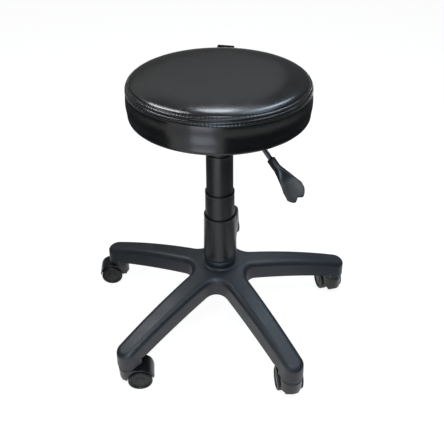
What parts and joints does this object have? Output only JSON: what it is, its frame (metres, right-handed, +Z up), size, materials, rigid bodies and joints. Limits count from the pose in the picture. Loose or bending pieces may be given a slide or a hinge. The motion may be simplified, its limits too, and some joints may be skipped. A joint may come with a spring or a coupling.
{
  "type": "rolling stool",
  "caption": "Round padded rolling stool with a black vinyl cushion on a gas lift with telescopic cover, side height lever, and a moulded star base on hooded swivel casters.",
  "frame": {"origin": "on the floor, under the axis of the column", "axes": "+Z up along the column; +Y away from a person who looks at the stool with the lever at their right; +X to that person's right"},
  "size_m": [0.6064, 0.5954, 0.585],
  "materials": {
    "base_nylon": "satin",
    "vinyl": "gloss",
    "webbing": "matte",
    "foam": "matte",
    "plywood": "matte",
    "dust_cloth": "matte",
    "black_steel": "satin",
    "bright_steel": "polished",
    "plain_steel": "satin",
    "brass": "satin",
    "white_nylon": "satin",
    "rubber": "matte",
    "cover_plastic": "satin",
    "paddle_plastic": "satin",
    "hood_nylon": "satin",
    "wheel_nylon": "satin"
  },
  "bodies": {
    "base": {"star_base": "base_nylon", "stand_tube": "black_steel", "guide_bush": "white_nylon", "bearing_race_lower": "plain_steel", "bearing_balls": "bright_steel", "cover_lower": "cover_plastic", "caster_stems": "bright_steel", "grip_rings": "plain_steel"},
    "gas_rod": {"piston_rod": "bright_steel", "piston": "brass", "piston_seal": "rubber", "bearing_race_upper": "plain_steel", "bump_stop": "rubber", "retaining_clip": "plain_steel"},
    "seat": {"pressure_tube": "black_steel", "rod_guide": "brass", "rod_seal": "rubber", "valve_body": "plain_steel", "cover_upper": "cover_plastic", "mounting_plate": "black_steel", "taper_boss": "black_steel", "taper_bush": "black_steel", "lever_bracket": "black_steel", "lever_pivot_pin": "plain_steel", "plate_bolts": "plain_steel", "bolt_washers": "plain_steel", "tee_nuts": "plain_steel", "seat_board": "plywood", "seat_foam": "foam", "seat_top_panel": "vinyl", "seat_band": "vinyl", "dust_cover": "dust_cloth", "rear_tab": "webbing"},
    "middle_cover": {"cover_middle": "cover_plastic"},
    "lever": {"lever_rod": "bright_steel", "lever_paddle": "paddle_plastic"},
    "release_pin": {"release_pin": "plain_steel"},
    "caster_1": {"caster_hood_1": "hood_nylon", "caster_axle_1": "plain_steel"},
    "wheel_a_1": {"caster_wheel_a_1": "wheel_nylon"},
    "wheel_b_1": {"caster_wheel_b_1": "wheel_nylon"},
    "caster_2": {"caster_hood_2": "hood_nylon", "caster_axle_2": "plain_steel"},
    "wheel_a_2": {"caster_wheel_a_2": "wheel_nylon"},
    "wheel_b_2": {"caster_wheel_b_2": "wheel_nylon"},
    "caster_3": {"caster_hood_3": "hood_nylon", "caster_axle_3": "plain_steel"},
    "wheel_a_3": {"caster_wheel_a_3": "wheel_nylon"},
    "wheel_b_3": {"caster_wheel_b_3": "wheel_nylon"},
    "caster_4": {"caster_hood_4": "hood_nylon", "caster_axle_4": "plain_steel"},
    "wheel_a_4": {"caster_wheel_a_4": "wheel_nylon"},
    "wheel_b_4": {"caster_wheel_b_4": "wheel_nylon"},
    "caster_5": {"caster_hood_5": "hood_nylon", "caster_axle_5": "plain_steel"},
    "wheel_a_5": {"caster_wheel_a_5": "wheel_nylon"},
    "wheel_b_5": {"caster_wheel_b_5": "wheel_nylon"}
  },
  "joints": [
    {"name": "seat_swivel", "type": "hinge", "parent": "base", "child": "gas_rod", "pos_m": [0, 0, 0], "axis": [0, 0, 1], "continuous": true},
    {"name": "seat_height", "type": "slide", "parent": "gas_rod", "child": "seat", "axis": [0, 0, 1], "range_m": [-0.1, 0.02]},
    {"name": "cover_slide", "type": "slide", "parent": "base", "child": "middle_cover", "axis": [0, 0, 1], "range_m": [-0.05, 0.01]},
    {"name": "lever_pull", "type": "hinge", "parent": "seat", "child": "lever", "pos_m": [0.02571, -0.03064, 0.4905], "axis": [-0.766, -0.6428, 0], "range_deg": [0, 5], "stiffness_Nm_per_rad": 4},
    {"name": "valve_press", "type": "slide", "parent": "seat", "child": "release_pin", "axis": [0, 0, -1], "range_m": [0, 0.0035]},
    {"name": "caster_swivel_1", "type": "hinge", "parent": "base", "child": "caster_1", "pos_m": [0.14, -0.24249, 0.025], "axis": [0, 0, 1], "continuous": true},
    {"name": "wheel_roll_a_1", "type": "hinge", "parent": "caster_1", "child": "wheel_a_1", "pos_m": [0.13826, -0.22256, 0.025], "axis": [-0.9962, -0.0872, 0], "continuous": true},
    {"name": "wheel_roll_b_1", "type": "hinge", "parent": "caster_1", "child": "wheel_b_1", "pos_m": [0.13826, -0.22256, 0.025], "axis": [-0.9962, -0.0872, 0], "continuous": true},
    {"name": "caster_swivel_2", "type": "hinge", "parent": "base", "child": "caster_2", "pos_m": [0.27388, 0.05822, 0.025], "axis": [0, 0, 1], "continuous": true},
    {"name": "wheel_roll_a_2", "type": "hinge", "parent": "caster_2", "child": "wheel_a_2", "pos_m": [0.26938, 0.0777, 0.025], "axis": [-0.9744, -0.225, 0], "continuous": true},
    {"name": "wheel_roll_b_2", "type": "hinge", "parent": "caster_2", "child": "wheel_b_2", "pos_m": [0.26938, 0.0777, 0.025], "axis": [-0.9744, -0.225, 0], "continuous": true},
    {"name": "caster_swivel_3", "type": "hinge", "parent": "base", "child": "caster_3", "pos_m": [0.02927, 0.27847, 0.025], "axis": [0, 0, 1], "continuous": true},
    {"name": "wheel_roll_a_3", "type": "hinge", "parent": "caster_3", "child": "wheel_a_3", "pos_m": [0.02309, 0.29749, 0.025], "axis": [-0.9511, -0.309, 0], "continuous": true},
    {"name": "wheel_roll_b_3", "type": "hinge", "parent": "caster_3", "child": "wheel_b_3", "pos_m": [0.02309, 0.29749, 0.025], "axis": [-0.9511, -0.309, 0], "continuous": true},
    {"name": "caster_swivel_4", "type": "hinge", "parent": "base", "child": "caster_4", "pos_m": [-0.25579, 0.11389, 0.025], "axis": [0, 0, 1], "continuous": true},
    {"name": "wheel_roll_a_4", "type": "hinge", "parent": "caster_4", "child": "wheel_a_4", "pos_m": [-0.27568, 0.1118, 0.025], "axis": [0.1045, -0.9945, 0], "continuous": true},
    {"name": "wheel_roll_b_4", "type": "hinge", "parent": "caster_4", "child": "wheel_b_4", "pos_m": [-0.27568, 0.1118, 0.025], "axis": [0.1045, -0.9945, 0], "continuous": true},
    {"name": "caster_swivel_5", "type": "hinge", "parent": "base", "child": "caster_5", "pos_m": [-0.18736, -0.20808, 0.025], "axis": [0, 0, 1], "continuous": true},
    {"name": "wheel_roll_a_5", "type": "hinge", "parent": "caster_5", "child": "wheel_a_5", "pos_m": [-0.16747, -0.20599, 0.025], "axis": [-0.1045, 0.9945, 0], "continuous": true},
    {"name": "wheel_roll_b_5", "type": "hinge", "parent": "caster_5", "child": "wheel_b_5", "pos_m": [-0.16747, -0.20599, 0.025], "axis": [-0.1045, 0.9945, 0], "continuous": true}
  ],
  "couplings": [
    {"joint": "cover_slide", "follows": "seat_height", "ratio": 0.5},
    {"joint": "valve_press", "follows": "lever_pull", "m_per_rad": 0.04}
  ]
}
